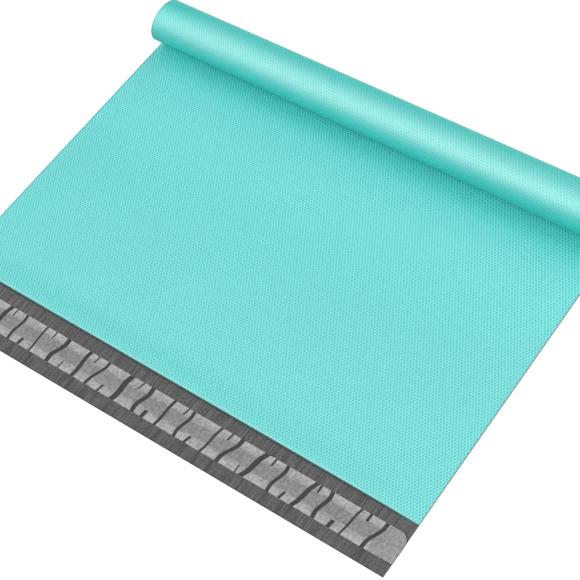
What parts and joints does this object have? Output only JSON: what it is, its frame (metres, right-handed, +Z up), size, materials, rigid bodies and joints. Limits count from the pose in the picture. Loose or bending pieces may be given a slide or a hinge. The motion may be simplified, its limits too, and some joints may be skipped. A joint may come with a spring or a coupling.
{
  "type": "poly mailer bag",
  "caption": "Flat poly mailer bag of folded film with its closed end rolled up, an open mouth, and a sealing flap that carries an adhesive band under a peel-off liner.",
  "frame": {"origin": "centre of the bag's bounding box in plan, on the surface it lies on", "axes": "+X across the bag's width, +Y from the flap towards the rolled closed end, +Z up"},
  "size_m": [0.37, 0.29, 0.034],
  "materials": {
    "film": "satin teal polyethylene outside with a fine dot pattern, dark grey inside",
    "adhesive": "tacky grey hot melt",
    "liner": "milky grey release film with dark score lines"
  },
  "bodies": {
    "root": {"bag_film": "film", "adhesive_strip": "adhesive", "release_liner": "liner"}
  },
  "joints": []
}
